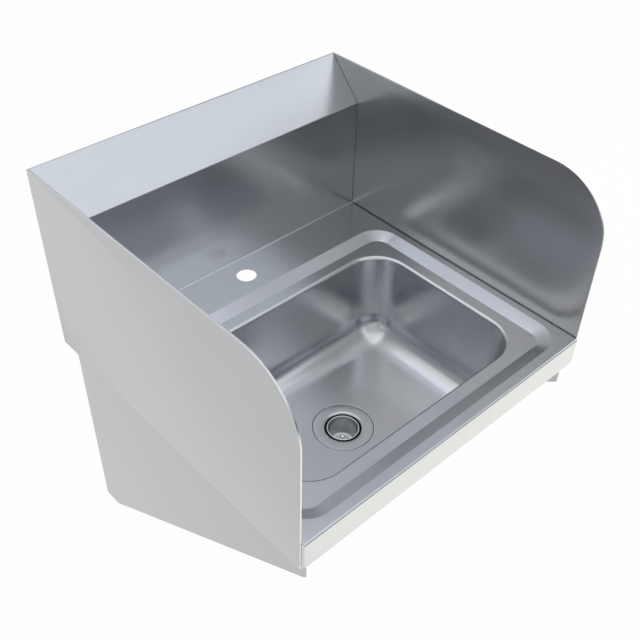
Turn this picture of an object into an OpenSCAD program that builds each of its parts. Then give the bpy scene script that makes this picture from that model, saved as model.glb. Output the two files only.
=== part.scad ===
// Wall-hung stainless steel hand wash sink with two side splashes.
// Folded sheet deck and backsplash, drawn bowl, side panels, support brackets,
// wall hanger and a strainer drain with a lift-out cup.
// X runs to the right, Y back to the wall, Z up. The origin is the middle of the
// hanger's screw line on the wall.

/* [Bowl] */
// Length of the bowl opening along X
bowl_w = 349.4; // [300:0.1:420]
// Front-to-back size of the bowl opening
bowl_d = 245.4; // [220:0.1:300]
// Depth of the bowl floor below the ledge
bowl_depth = 124.7; // [100:0.1:180]
// Corner radius of the bowl opening
bowl_corner_r = 49; // [49:0.5:60]
// Radius between the bowl walls and its floor
bowl_floor_r = 38; // [20:0.5:38]
// Radius of the roll between the ledge and the bowl wall
bowl_rim_r = 4.5; // [3:0.1:5]
// Draft of the bowl walls in degrees
bowl_draft = 3; // [1:0.5:3]
// Diameter of the recess round the drain
seat_d = 76.4; // [76:0.1:90]
// Depth of the recess round the drain
seat_depth = 2; // [1.6:0.1:3]

/* [Deck] */
// Width of the flat ledge round the bowl
ledge_w = 13.6; // [10:0.1:25]
// Width of the sloping no-drip step
step_w = 16.7; // [10:0.1:25]
// Depth of the no-drip step
step_depth = 6.35; // [4:0.05:8]
// Corner radius at the top of the no-drip step
step_corner_r = 35; // [26:0.5:45]
// Flat land between the step and each side splash
side_land = 10.9; // [9:0.1:40]
// Flat land between the step and the apron face
front_land = 13.4; // [10:0.1:40]
// Flat land between the step and the backsplash
back_land = 61.6; // [56:0.1:90]
// Thickness of the sink sheet
sheet_t = 1.2; // [0.9:0.1:1.5]
// Inside radius of the bends in the sink sheet
bend_r = 1.8; // [1:0.1:2.5]
// Height of the apron and the side skirts
apron_h = 38.1; // [25:0.1:50]
// Depth of the lip turned in under the apron
apron_lip = 5; // [3.5:0.5:6]
// Size of the cut across the apron's bottom corners
apron_corner = 4; // [2:0.5:6]
// Diameter of the faucet hole
faucet_hole_d = 25.4; // [22:0.1:35]
// Distance from the backsplash face to the faucet hole
faucet_setback = 31.6; // [25:0.1:36]

/* [Backsplash] */
// Height of the backsplash from the deck to its upper bend
splash_h = 152.6; // [100:0.1:250]
// Depth of the slanted return, from the backsplash face to the wall
return_d = 50; // [40:0.5:60]
// Rise of the slanted return
return_rise = 51.3; // [40:0.1:60]
// Length of the hook flange turned down against the wall
hook_h = 20; // [14:0.5:26]
// Inside radius of the tight fold between the return and the hook flange
fold_r = 0.6; // [0.3:0.1:1]

/* [Side splashes] */
// Thickness of the side splashes
side_t = 1.9; // [1.2:0.1:3]
// Distance of their front edges behind the apron face
side_setback = 2.6; // [2:0.1:6]
// Radius of their upper front corner
side_corner_r = 76.2; // [20:0.1:110]
// Radius of their small corners
side_small_r = 1.5; // [1:0.5:4]

/* [Support brackets] */
// Thickness of the bracket plates
bracket_t = 1.5; // [1.2:0.1:2.5]
// Distance of a bracket's outer face outside the no-drip step
bracket_offset = 0.95; // [0.8:0.05:1.5]
// Distance of the bracket nose behind the apron face
bracket_setback = 7.5; // [7.5:0.1:20]
// Depth of the bracket nose below the deck
bracket_nose_h = 71.4; // [55:0.1:100]
// Height of a bracket at the wall, below the deck
bracket_h = 334; // [260:1:400]
// Length of the level foot of a bracket
bracket_foot = 29.8; // [10:0.1:60]
// Cut across the nose corner
bracket_nose_cut = 3.5; // [1:0.5:6]
// Inside radius of the bend to the wall flange
bracket_bend_r = 2.5; // [1.5:0.1:4]
// Width of the wall flange
bracket_flange_w = 30; // [26:0.5:40]
// Diameter of the wall screw holes
bracket_hole_d = 7; // [5:0.1:9]
// Distance of the hole line from the bracket's outer face
bracket_hole_in = 16; // [14:0.5:18]
// Depth of the upper hole below the deck
bracket_hole_top = 60; // [30:1:80]
// Distance between the upper and the lower hole
bracket_hole_pitch = 230; // [120:1:240]

/* [Wall hanger] */
// Length of the hanger
hanger_w = 400; // [350:1:404]
// Thickness of the hanger
hanger_t = 1.9; // [1.5:0.1:3]
// Distance from the top of the backsplash down to the screw line
hanger_drop = 53.9; // [45:0.1:80]
// Distance from the screw line down to the hanger's lower edge
hanger_foot = 20; // [10:0.5:40]
// Length of the sloping offset between foot and lip
hanger_jog_h = 5; // [4:0.5:8]
// Inside radius of the hanger's bends
hanger_bend_r = 1; // [0.5:0.1:2]
// Distance between the two screw holes
hanger_hole_pitch = 304.8; // [200:0.1:320]
// Diameter of the two screw holes
hanger_hole_d = 8; // [5:0.1:10]

/* [Drain] */
// Outer diameter of the drain flange
flange_d = 75.4; // [70:0.1:75.6]
// Thickness of the drain flange
flange_t = 1.2; // [0.9:0.1:1.2]
// Depth of the flange's face below the bowl floor
flange_sink = 0.3; // [0:0.1:0.3]
// Radius of the roll into the throat
throat_roll_r = 2.4; // [1.5:0.1:3]
// Bore of the throat
throat_d = 45.3; // [44:0.1:46]
// Wall of the threaded drain tube
tube_wall = 1.5; // [1.2:0.1:2]
// Length of the drain body below the top of its flange
tube_len = 55; // [48:0.5:80]
// Depth of the shelf that carries the strainer cup
shelf_depth = 6.4; // [6:0.1:9]
// Width of that shelf
shelf_w = 1.5; // [1:0.1:2]
// Clearance round the tube in the bowl and in the nuts and rings
tube_clear = 0.3; // [0.2:0.05:0.8]
// Outer diameter of the sealing ring under the flange
seal_d = 72; // [62:0.5:74]
// Outer diameter of the rubber gasket under the bowl
gasket_d = 72; // [62:0.5:80]
// Thickness of the rubber gasket under the bowl
gasket_t = 3; // [2:0.1:5]
// Outer diameter of the friction washer
washer_d = 66; // [60:0.5:72]
// Thickness of the friction washer
washer_t = 1; // [0.5:0.1:2]
// Size of the lock nut across its flats
locknut_af = 60; // [56:0.5:70]
// Thickness of the lock nut
locknut_t = 8; // [5:0.5:10]

/* [Tailpiece] */
// Outer diameter of the tailpiece
tail_d = 38.1; // [36:0.1:38.5]
// Wall of the tailpiece
tail_wall = 1; // [0.8:0.1:1.5]
// Length of the tailpiece with its flange
tail_len = 100; // [60:1:180]
// Outer diameter of the tailpiece flange
tail_flange_d = 46.8; // [44:0.1:47.4]
// Thickness of the tailpiece flange
tail_flange_t = 1.2; // [1:0.1:2]
// Widening of the tailpiece's radius at its neck, under the flange
tail_neck_w = 0.8; // [0.3:0.1:1]
// Length of the neck's taper past the coupling nut's shoulder
tail_neck_run = 1.5; // [0.5:0.1:4]
// Thickness of the washer above the tailpiece
tail_washer_t = 2; // [1:0.1:4]
// Outer diameter of the washer above the tailpiece
tail_washer_d = 47; // [45:0.1:47.6]
// Size of the coupling nut across its flats
coupling_af = 56; // [53:0.5:64]
// Length of the coupling nut round the drain tube
coupling_grip = 15; // [10:0.5:18]
// Thickness of the coupling nut's shoulder
coupling_shoulder = 2.5; // [2:0.1:4]

/* [Strainer cup] */
// Depth of the cup rim below the drain flange
cup_drop = 1.4; // [0.5:0.1:2]
// Outer diameter of the cup rim
cup_rim_d = 41.2; // [40.6:0.1:42]
// Sheet thickness of the cup
cup_t = 0.6; // [0.4:0.1:0.8]
// Outer diameter of the cup under its rim
cup_top_d = 39.2; // [38:0.1:39.4]
// Outer diameter of the cup at its bottom
cup_bottom_d = 33.8; // [31:0.1:35]
// Depth of the cup from rim to bottom
cup_depth = 28; // [18:0.5:33]
// Inside radius of the bend under the cup's rim
cup_lip_r = 0.4; // [0.2:0.1:0.5]
// Inside radius round the cup's bottom edge
cup_edge_r = 2; // [1:0.1:4]
// Diameter of the holes in the cup's bottom
cup_hole_d = 3; // [2:0.1:3.1]
// Number of holes in the outer ring of the bottom
outer_hole_count = 12; // [6:1:14]
// Radius of the outer ring of holes
outer_hole_ring = 9.5; // [9:0.1:10.5]
// Number of holes in the inner ring of the bottom
inner_hole_count = 6; // [4:1:7]
// Radius of the inner ring of holes
inner_hole_ring = 5.6; // [5.4:0.1:5.8]
// Clearance of the rubber ring in the throat
ring_clear = 0.35; // [0.3:0.05:0.6]
// Diameter of the knob on the centre post
knob_d = 6.2; // [5:0.1:8]
// Height of the knob above the cup's bottom
knob_h = 13.5; // [6:0.5:18]
// Diameter of the post between the knob and the cup's bottom
post_d = 4.8; // [4:0.1:5]
// Diameter of the threaded end of the post
thread_d = 3.8; // [3:0.1:3.8]
// Length of thread that shows below the nut
thread_run = 0.6; // [0:0.1:3]
// Size of the knob nut across its flats
knob_nut_af = 7; // [6.5:0.1:8]
// Thickness of the knob nut
knob_nut_t = 3; // [2:0.5:5]

/* [Hidden] */
$fn = 72;
// Overrun of a cut past the face it starts from
eps = 0.5;
// Straight pieces in a sheet bend, a bowl fillet and a side splash corner
bend_steps = 6;
floor_steps = 10;
corner_steps = 24;
// Clearances at hooked and lifted pieces, at welds, at threads and under the hook
fit_gap = 0.3;
weld_gap = 0.5;
thread_gap = 0.1;
hook_clear = 2;

step_rim_w = bowl_w + 2 * (ledge_w + step_w);
step_rim_d = bowl_d + 2 * (ledge_w + step_w);
half_w = step_rim_w / 2 + side_land;
deck_d = back_land + step_rim_d + front_land;
bowl_y = -back_land - step_rim_d / 2;
ledge_z = -step_depth;
floor_z = ledge_z - bowl_depth;
splash_top = splash_h + return_rise;
outer_bend = bend_r + sheet_t;

// The fold's highest point is level with the side splashes, so its corner lies higher
fold_lean = atan(return_rise / return_d);
fold_corner = splash_top + (fold_r + sheet_t) * ((1 + sin(fold_lean)) / cos(fold_lean) - 1);
return_slope = (fold_corner - splash_h) / return_d;

// The hanger's lip ends a fit gap under the return
hook_y = return_d - sheet_t;
hook_corner = splash_h + hook_y * return_slope - sheet_t * norm([1, return_slope]);
lip_top = hook_corner - (hanger_t + 2 * fit_gap) * return_slope;
lip_back_y = hook_y - fit_gap;
hook_end = splash_top - hook_h;
hanger_z = splash_top - hanger_drop;

bracket_x = step_rim_w / 2 + bracket_offset;
bracket_top = -sheet_t - (bracket_t - bracket_offset + weld_gap) * step_depth / step_w;

seat_z = floor_z - seat_depth;
bowl_under = seat_z - sheet_t;
flange_top = floor_z - flange_sink;
seal_top = flange_top - flange_t;
tube_r = throat_d / 2 + tube_wall;
tube_end = flange_top - tube_len;
shelf_z = flange_top - shelf_depth;
shelf_r = throat_d / 2 - shelf_w;
ring_r = tube_r + tube_clear;
nut_bore_r = tube_r + thread_gap;
gasket_end = bowl_under - gasket_t;
washer_end = gasket_end - washer_t;
tail_top = tube_end - tail_washer_t;
tail_flange_end = tail_top - tail_flange_t;
tail_neck_r = tail_d / 2 + tail_neck_w;
tail_neck_end = tail_flange_end - coupling_shoulder - tail_neck_run;

cup_rim_z = flange_top - cup_drop;
cup_ring_top = cup_rim_z - cup_t;
cup_ring_r = throat_d / 2 - ring_clear;
cup_floor_z = cup_rim_z - cup_depth;
cup_under = cup_floor_z - cup_t;
knob_z = cup_floor_z + knob_h - knob_d / 2;

function unit(v) = v / norm(v);
function left_of(v) = [-v[1], v[0]];
function turn(a, b, c) = sign(cross(b - a, c - b));

// Corner points of a path moved by d to the right of its direction
function moved(p, d) = [for (i = [0 : len(p) - 1])
    let (n1 = -left_of(unit(i == 0 ? p[1] - p[0] : p[i] - p[i - 1])),
         n2 = -left_of(unit(i == len(p) - 1 ? p[i] - p[i - 1] : p[i + 1] - p[i])))
    p[i] + (n1 + n2) * d / (1 + n1 * n2)];

// Points of the arc of radius r that rounds the corner b between a and c
function arc_at(a, b, c, r, steps) =
    let (d1 = unit(b - a), d2 = unit(c - b), s = turn(a, b, c),
         angle = acos(d1 * d2), start = b - d1 * r * tan(angle / 2),
         centre = start + left_of(d1) * r * s, v = start - centre)
    [for (k = [0 : steps]) let (q = s * angle * k / steps)
        centre + [v[0] * cos(q) - v[1] * sin(q), v[0] * sin(q) + v[1] * cos(q)]];

// Path with each inner corner rounded, r[i] at corner i
function rounded(p, r, steps) = [for (i = [0 : len(p) - 1])
    each (i == 0 || i == len(p) - 1) ? [p[i]]
        : arc_at(p[i - 1], p[i], p[i + 1], r[i], steps)];

// Bend radii on the side of the sheet that lies d to the right of the path
function bend_radii(p, inside, t, d) = [for (i = [0 : len(p) - 1])
    (i == 0 || i == len(p) - 1) ? 0
        : turn(p[i - 1], p[i], p[i + 1]) < 0 ? inside[i] + t - d : inside[i] + d];

function reversed(p) = [for (i = [len(p) - 1 : -1 : 0]) p[i]];
function same(p, r) = [for (q = p) r];

// Outline of a bent sheet whose face follows the path, with its thickness to the right
// and the given inside bend radius at each corner
function sheet_outline(p, t, inside) = concat(
    rounded(p, bend_radii(p, inside, t, 0), bend_steps),
    reversed(rounded(moved(p, t), bend_radii(p, inside, t, t), bend_steps)));

// Moves the deck's own frame into the frame of the whole part
module placed() translate([0, -return_d, -hanger_z]) children();

// Extrudes an outline drawn in Y and Z along X, between x0 and x1
module along_x(x0, x1) translate([x0, 0, 0]) rotate([90, 0, 90])
    linear_extrude(height = x1 - x0) children();

// Extrudes an outline drawn in X and Z along Y, between y0 and y1
module along_y(y0, y1) translate([0, y1, 0]) rotate([90, 0, 0])
    linear_extrude(height = y1 - y0) children();

// Rounded rectangle centred on the origin
module rounded_rect(w, d, r) {
    square([w - 2 * r, d], center = true);
    square([w, d - 2 * r], center = true);
    for (x = [-1, 1], y = [-1, 1])
        translate([x * (w / 2 - r), y * (d / 2 - r)]) circle(r);
}

// Rounded rectangular block that narrows downwards by inset on every side
module tapered_block(w, d, r, h, inset) {
    along_y(r - d / 2, d / 2 - r)
        polygon([[inset - w / 2, -h], [w / 2 - inset, -h], [w / 2, 0], [-w / 2, 0]]);
    along_x(r - w / 2, w / 2 - r)
        polygon([[inset - d / 2, -h], [d / 2 - inset, -h], [d / 2, 0], [-d / 2, 0]]);
    for (x = [-1, 1], y = [-1, 1])
        translate([x * (w / 2 - r), y * (d / 2 - r), -h])
            cylinder(h = h, r1 = r - inset, r2 = r);
}

// Rounded rectangular body whose wall follows a profile of inset and height.
// The profile ends at the corner centre, where the inset equals the corner radius.
module profiled_body(w, d, r, profile, low, high) {
    translate([r - w / 2, r - d / 2, low]) cube([w - 2 * r, d - 2 * r, high - low]);
    corner = [for (q = profile) [r - q[0], q[1]]];
    for (m = [0, 1]) mirror([m, 0, 0])
        along_y(r - d / 2, d / 2 - r) translate([w / 2 - r, 0]) polygon(corner);
    for (m = [0, 1]) mirror([0, m, 0])
        along_x(r - w / 2, w / 2 - r) translate([d / 2 - r, 0]) polygon(corner);
    for (mx = [0, 1], my = [0, 1]) mirror([mx, 0, 0]) mirror([0, my, 0])
        translate([w / 2 - r, d / 2 - r, 0]) rotate_extrude(angle = 90) polygon(corner);
}

// Ring of a given outer and inner radius between two heights
module ring(outer, inner, low, high) difference() {
    translate([0, 0, low]) cylinder(h = high - low, r = outer);
    translate([0, 0, low - eps]) cylinder(h = high - low + 2 * eps, r = inner);
}

// Hexagon nut with its bore
module hex_ring(af, inner, low, high) difference() {
    translate([0, 0, low]) cylinder(h = high - low, r = af / 2 / cos(30), $fn = 6);
    translate([0, 0, low - eps]) cylinder(h = high - low + 2 * eps, r = inner);
}

module at_drain() placed() translate([0, bowl_y, 0]) children();

// Deck

deck_path = [[apron_lip - deck_d, -apron_h], [-deck_d, -apron_h], [-deck_d, 0],
    [0, 0], [0, splash_h], [return_d, fold_corner], [return_d, hook_end]];
deck_bends = [0, bend_r, bend_r, bend_r, bend_r, fold_r, 0];

module side_skirt() {
    skirt_path = [[half_w - outer_bend, 0], [half_w, 0], [half_w, -apron_h]];
    along_y(outer_bend - deck_d, -outer_bend)
        polygon(sheet_outline(skirt_path, sheet_t, same(skirt_path, bend_r)));
    translate([half_w - sheet_t, sheet_t - deck_d, -apron_h])
        cube([sheet_t, outer_bend, apron_h - outer_bend]);
}

module deck_edge_cut() translate([half_w - outer_bend, outer_bend - deck_d, -2 * sheet_t])
    cube([outer_bend + eps, deck_d - 2 * outer_bend, 3 * sheet_t]);

module apron_corner_cut() along_y(-deck_d - eps, apron_lip + eps - deck_d)
    polygon([[half_w - apron_corner, -apron_h - eps], [half_w + eps, -apron_h - eps],
        [half_w + eps, apron_corner - apron_h], [half_w, apron_corner - apron_h],
        [half_w - apron_corner, -apron_h]]);

module step_block(drop) translate([0, bowl_y, -drop])
    tapered_block(step_rim_w, step_rim_d, step_corner_r, step_depth, step_w);

module deck_and_backsplash() color("silver") placed() difference() {
    union() {
        difference() {
            along_x(-half_w, half_w)
                polygon(sheet_outline(deck_path, sheet_t, deck_bends));
            for (m = [0, 1]) mirror([m, 0, 0]) deck_edge_cut();
        }
        for (m = [0, 1]) mirror([m, 0, 0]) side_skirt();
        step_block(sheet_t);
    }
    step_block(0);
    translate([0, bowl_y, ledge_z - sheet_t - eps])
        linear_extrude(height = sheet_t + 2 * eps)
            rounded_rect(bowl_w, bowl_d, bowl_corner_r);
    translate([0, -faucet_setback, -sheet_t - eps])
        cylinder(h = sheet_t + 2 * eps, r = faucet_hole_d / 2);
    for (m = [0, 1]) mirror([m, 0, 0]) apron_corner_cut();
}

// Bowl

rim_run = bowl_rim_r * tan((90 - bowl_draft) / 2);
wall_run = bowl_depth * tan(bowl_draft);
bowl_path = [[0, ledge_z], [rim_run, ledge_z], [rim_run + wall_run, floor_z],
    [bowl_corner_r, floor_z]];

module bowl_body(grow) {
    radii = [0, bowl_rim_r - grow, bowl_floor_r + grow, 0];
    line = rounded(moved(bowl_path, grow), radii, floor_steps);
    top = grow > 0 ? ledge_z : ledge_z + eps;
    profiled_body(bowl_w, bowl_d, bowl_corner_r,
        concat([[bowl_corner_r, top], [0, top]], line),
        floor_z - grow, top);
}

module bowl() color("lightgray") placed() translate([0, bowl_y, 0]) difference() {
    union() {
        bowl_body(sheet_t);
        translate([0, 0, bowl_under])
            cylinder(h = seat_depth + sheet_t / 2, r = seat_d / 2 + sheet_t);
    }
    bowl_body(0);
    translate([0, 0, seat_z]) cylinder(h = seat_depth + eps, r = seat_d / 2);
    translate([0, 0, bowl_under - eps]) cylinder(h = 2 * sheet_t + eps, r = ring_r);
}

// Side splashes

side_front = side_setback - deck_d;
side_outline = rounded([[side_front, 0], [side_front, splash_top], [return_d, splash_top],
    [return_d, -apron_h], [side_front, -apron_h], [side_front, 0]],
    [0, side_corner_r, side_small_r, side_small_r, side_small_r, 0], corner_steps);

module right_side_splash() color("gainsboro") placed()
    along_x(half_w, half_w + side_t) polygon(side_outline);

module left_side_splash() color("gainsboro") placed()
    along_x(-half_w - side_t, -half_w) polygon(side_outline);

// Support brackets

nose_y = bracket_setback - deck_d;
bracket_outline = [[nose_y, bracket_top], [return_d, bracket_top], [return_d, -bracket_h],
    [return_d - bracket_foot, -bracket_h], [nose_y + bracket_nose_cut, -bracket_nose_h],
    [nose_y, bracket_nose_cut - bracket_nose_h]];
bracket_fold = [[bracket_x - bracket_flange_w, return_d], [bracket_x, return_d],
    [bracket_x, nose_y]];
weld_outer = half_w - outer_bend;

module support_bracket() placed() difference() {
    union() {
        intersection() {
            translate([0, 0, -bracket_h]) linear_extrude(height = bracket_h)
                polygon(sheet_outline(bracket_fold, bracket_t,
                    same(bracket_fold, bracket_bend_r)));
            along_x(bracket_x - bracket_flange_w - eps, bracket_x + eps)
                polygon(bracket_outline);
        }
        translate([bracket_x - weld_gap, nose_y + weld_gap, -sheet_t - bracket_t])
            cube([weld_outer - bracket_x + weld_gap, -nose_y - outer_bend - weld_gap, bracket_t]);
    }
    for (z = [0, bracket_hole_pitch])
        translate([bracket_x - bracket_hole_in, return_d + eps, -bracket_hole_top - z])
            rotate([90, 0, 0]) cylinder(h = bracket_t + 2 * eps, r = bracket_hole_d / 2);
}

module right_support_bracket() color("darkgray") support_bracket();

module left_support_bracket() color("darkgray") mirror([1, 0, 0]) support_bracket();

// Wall hanger

jog_top = hook_end - hook_clear;
hanger_path = [[lip_back_y, lip_top], [lip_back_y, jog_top],
    [return_d, jog_top - hanger_jog_h], [return_d, hanger_z - hanger_foot]];

module wall_hanger() color("slategray") placed() difference() {
    along_x(-hanger_w / 2, hanger_w / 2)
        polygon(sheet_outline(hanger_path, hanger_t, same(hanger_path, hanger_bend_r)));
    for (x = [-1, 1]) translate([x * hanger_hole_pitch / 2, return_d + eps, hanger_z])
        rotate([90, 0, 0]) cylinder(h = hanger_t + 2 * eps, r = hanger_hole_d / 2);
}

// Drain

module drain_body() color("whitesmoke") at_drain() difference() {
    union() {
        translate([0, 0, seal_top]) cylinder(h = flange_t, r = flange_d / 2);
        translate([0, 0, tube_end]) cylinder(h = tube_len - flange_t / 2, r = tube_r);
    }
    rotate_extrude() difference() {
        translate([0, flange_top - throat_roll_r])
            square([throat_d / 2 + throat_roll_r, throat_roll_r + eps]);
        translate([throat_d / 2 + throat_roll_r, flange_top - throat_roll_r])
            circle(throat_roll_r);
    }
    translate([0, 0, shelf_z]) cylinder(h = shelf_depth, r = throat_d / 2);
    translate([0, 0, tube_end - eps]) cylinder(h = tube_len, r = shelf_r);
}

module flange_seal() color("dimgray") at_drain()
    ring(seal_d / 2, ring_r, seat_z, seal_top);

module drain_gasket() color("black") at_drain()
    ring(gasket_d / 2, ring_r, gasket_end, bowl_under);

module friction_washer() color("tan") at_drain()
    ring(washer_d / 2, ring_r, washer_end, gasket_end);

module drain_locknut() color("goldenrod") at_drain()
    hex_ring(locknut_af, nut_bore_r, washer_end - locknut_t, washer_end);

module tailpiece() color("whitesmoke") at_drain() difference() {
    union() {
        translate([0, 0, tail_flange_end])
            cylinder(h = tail_flange_t, r = tail_flange_d / 2);
        translate([0, 0, tail_neck_end])
            cylinder(h = tail_flange_end - tail_neck_end, r1 = tail_d / 2, r2 = tail_neck_r);
        translate([0, 0, tail_top - tail_len]) cylinder(h = tail_len, r = tail_d / 2);
    }
    translate([0, 0, tail_top - tail_len - eps])
        cylinder(h = tail_len + 2 * eps, r = tail_d / 2 - tail_wall);
}

module tailpiece_washer() color("ivory") at_drain()
    ring(tail_washer_d / 2, tail_d / 2 - tail_wall, tail_top, tube_end);

module coupling_nut() color("goldenrod") at_drain() difference() {
    translate([0, 0, tail_flange_end - coupling_shoulder])
        cylinder(h = tube_end + coupling_grip - tail_flange_end + coupling_shoulder,
            r = coupling_af / 2 / cos(30), $fn = 6);
    translate([0, 0, tail_flange_end])
        cylinder(h = tube_end + coupling_grip - tail_flange_end + eps, r = nut_bore_r);
    translate([0, 0, tail_flange_end - coupling_shoulder - eps])
        cylinder(h = coupling_shoulder + 2 * eps, r = tail_neck_r + thread_gap);
}

// Strainer cup

cup_path = [[0, cup_floor_z], [cup_bottom_d / 2 - cup_t, cup_floor_z],
    [cup_top_d / 2 - cup_t, cup_rim_z], [cup_rim_d / 2, cup_rim_z]];

module cup_holes(count, ring_radius, d) for (k = [0 : count - 1])
    rotate([0, 0, 360 * k / count]) translate([ring_radius, 0, cup_under - eps])
        cylinder(h = cup_t + 2 * eps, r = d / 2);

module strainer_cup() color("silver") at_drain() difference() {
    rotate_extrude() polygon(sheet_outline(cup_path, cup_t, [0, cup_edge_r, cup_lip_r, 0]));
    cup_holes(1, 0, thread_d + 2 * thread_gap);
    cup_holes(inner_hole_count, inner_hole_ring, cup_hole_d);
    cup_holes(outer_hole_count, outer_hole_ring, cup_hole_d);
}

module cup_seal_ring() color("black") at_drain()
    ring(cup_ring_r, cup_top_d / 2 + fit_gap, shelf_z + fit_gap, cup_ring_top);

module lift_knob() color("white") at_drain() {
    thread_end = cup_under - knob_nut_t - thread_run;
    translate([0, 0, knob_z]) sphere(knob_d / 2);
    translate([0, 0, cup_floor_z]) cylinder(h = knob_z - cup_floor_z, r = post_d / 2);
    translate([0, 0, thread_end]) cylinder(h = knob_z - thread_end, r = thread_d / 2);
}

module knob_nut() color("silver") at_drain()
    hex_ring(knob_nut_af, thread_d / 2 + thread_gap, cup_under - knob_nut_t, cup_under);

deck_and_backsplash();
bowl();
left_side_splash();
right_side_splash();
left_support_bracket();
right_support_bracket();
wall_hanger();
drain_body();
flange_seal();
drain_gasket();
friction_washer();
drain_locknut();
tailpiece();
tailpiece_washer();
coupling_nut();
strainer_cup();
cup_seal_ring();
lift_knob();
knob_nut();
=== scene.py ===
import math

import bmesh
import bpy
import numpy as np
from mathutils import Matrix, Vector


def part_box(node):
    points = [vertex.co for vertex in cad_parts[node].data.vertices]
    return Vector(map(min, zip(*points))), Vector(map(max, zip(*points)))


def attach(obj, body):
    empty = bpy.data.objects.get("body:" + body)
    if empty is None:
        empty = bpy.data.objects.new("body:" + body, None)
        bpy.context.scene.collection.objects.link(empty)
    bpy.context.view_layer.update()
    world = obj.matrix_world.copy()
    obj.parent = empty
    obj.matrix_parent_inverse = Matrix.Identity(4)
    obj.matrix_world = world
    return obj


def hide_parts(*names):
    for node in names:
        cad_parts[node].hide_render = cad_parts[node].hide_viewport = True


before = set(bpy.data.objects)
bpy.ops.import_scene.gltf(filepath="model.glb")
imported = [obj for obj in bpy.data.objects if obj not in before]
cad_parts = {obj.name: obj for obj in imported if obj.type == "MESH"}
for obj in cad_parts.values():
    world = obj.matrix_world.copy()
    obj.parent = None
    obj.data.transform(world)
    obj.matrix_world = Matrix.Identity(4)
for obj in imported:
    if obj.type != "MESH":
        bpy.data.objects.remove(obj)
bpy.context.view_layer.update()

mm = 0.001  # sizes below are in millimetres, unless a note says otherwise
fullTurn = 2 * math.pi
quarterTurn = math.pi / 2


# Surfaces: arrays of points, with quads between neighbours

def grid(points, closeRows=False, closeColumns=False):
    # a surface from rows x columns x 3 places, one quad between each four neighbours
    rows, columns = points.shape[:2]
    index = np.arange(rows * columns).reshape(rows, columns)
    if closeRows:
        index = np.vstack([index, index[:1]])
    if closeColumns:
        index = np.hstack([index, index[:, :1]])
    quads = np.stack([index[:-1, :-1], index[:-1, 1:], index[1:, 1:], index[1:, :-1]], axis=-1)
    return points.reshape(-1, 3), quads.reshape(-1, 4)


def joined(*surfaces):
    # several surfaces as one list of points and quads
    starts = np.cumsum([0] + [len(points) for points, quads in surfaces[:-1]])
    return (np.vstack([points for points, quads in surfaces]),
            np.vstack([quads + start for (points, quads), start in zip(surfaces, starts)]))


def mirrored(surface):
    # the same surface on the other side of x = 0, still facing out
    points, quads = surface
    return points * [-1, 1, 1], quads[:, ::-1]


def unit(ways):
    # each way divided by its length
    return ways / np.linalg.norm(ways, axis=-1, keepdims=True)


def rounded(corners, radii, steps):
    # a path of straight lines whose corners are arcs: an arc starts radius * tan(turn / 2)
    # before its corner and runs round a centre that lies a radius to the inner side
    corners = np.array(corners, float)
    path = [corners[:1]]
    for before, corner, after, radius in zip(corners, corners[1:], corners[2:], radii):
        into, out = unit(corner - before), unit(after - corner)
        side = np.sign(into[0] * out[1] - into[1] * out[0])
        angle = math.acos(np.clip(into @ out, -1, 1))
        start = corner - into * radius * math.tan(angle / 2)
        toCentre = side * radius * np.array([-into[1], into[0]])
        turn = side * angle * np.linspace(0, 1, steps + 1)[:, None]
        path.append(start + toCentre - np.cos(turn) * toCentre
                    - np.sin(turn) * np.array([-toCentre[1], toCentre[0]]))
    return np.vstack(path + [corners[-1:]])


def divided(path, number, parts):
    # the path with the straight stretch after one of its points cut into equal parts
    share = np.linspace(0, 1, parts + 1)[1:-1, None]
    between = path[number] + (path[number + 1] - path[number]) * share
    return np.vstack([path[:number + 1], between, path[number + 1:]])


def swept(profile, places, axis):
    # a profile carried straight along x (axis 0) or y (axis 1), its height along z
    rows = np.zeros((len(profile), len(places), 3))
    rows[..., 1 - axis] = profile[:, :1]
    rows[..., axis] = places
    rows[..., 2] = profile[:, 1:]
    return grid(rows)


def turned(profile, segments=96, shape=None, closed=False):
    # a profile of radius and height carried round the upright axis: x = r cos, y = r sin;
    # shape changes the radius by height and angle, and a closed profile meets its own start
    angle = np.linspace(0, fullTurn, segments, endpoint=False)
    radius, height = profile[:, :1] + 0 * angle, profile[:, 1:] + 0 * angle
    if shape:
        radius = shape(radius, height, angle)
    points = np.stack([radius * np.cos(angle), radius * np.sin(angle), height], axis=-1)
    return grid(points, closeRows=closed, closeColumns=True)


def cornerFrame(width, depth, radius, corner=24, longSide=120, shortSide=12):
    # a rounded rectangle as anchors and outward ways: a ring at any offset is
    # anchor + offset * way, and the anchors of an arc are all its centre
    turn = np.linspace(0, quarterTurn, corner + 1)
    anchors, ways = [], []
    halfX, halfY = width / 2 - radius, depth / 2 - radius
    for quarter, (x, y) in enumerate([(1, 1), (-1, 1), (-1, -1), (1, -1)]):
        angle = turn + quarter * quarterTurn
        centre = np.array([x * halfX, y * halfY])
        nextCentre = np.array([[-x, y], [x, -y]][quarter % 2]) * [halfX, halfY]
        steps = longSide if quarter % 2 == 0 else shortSide
        share = np.linspace(0, 1, steps + 1)[1:-1, None]
        way = np.array([math.cos(angle[-1]), math.sin(angle[-1])])
        anchors += [centre + 0 * angle[:, None], centre + (nextCentre - centre) * share]
        ways += [np.stack([np.cos(angle), np.sin(angle)], 1), way + 0 * share]
    return np.vstack(anchors), np.vstack(ways)


def rings(anchors, ways, profile):
    # a profile of offset and height carried round a rounded rectangle
    offset, height = profile[:, 0, None, None], profile[:, 1, None, None]
    flat = anchors + offset * ways
    return np.concatenate([flat, height + 0 * flat[..., :1]], axis=2)


# Pieces: a surface becomes a mesh that rides on its body and stands for its node

weldReach = 0.002  # points nearer than this are one point
noEdge = 0.0001  # an edge shorter than this is taken out
# the attribute that marks where a brighter colour paints a highlight on a rim
rimHighlightAttribute = "rim"


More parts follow.
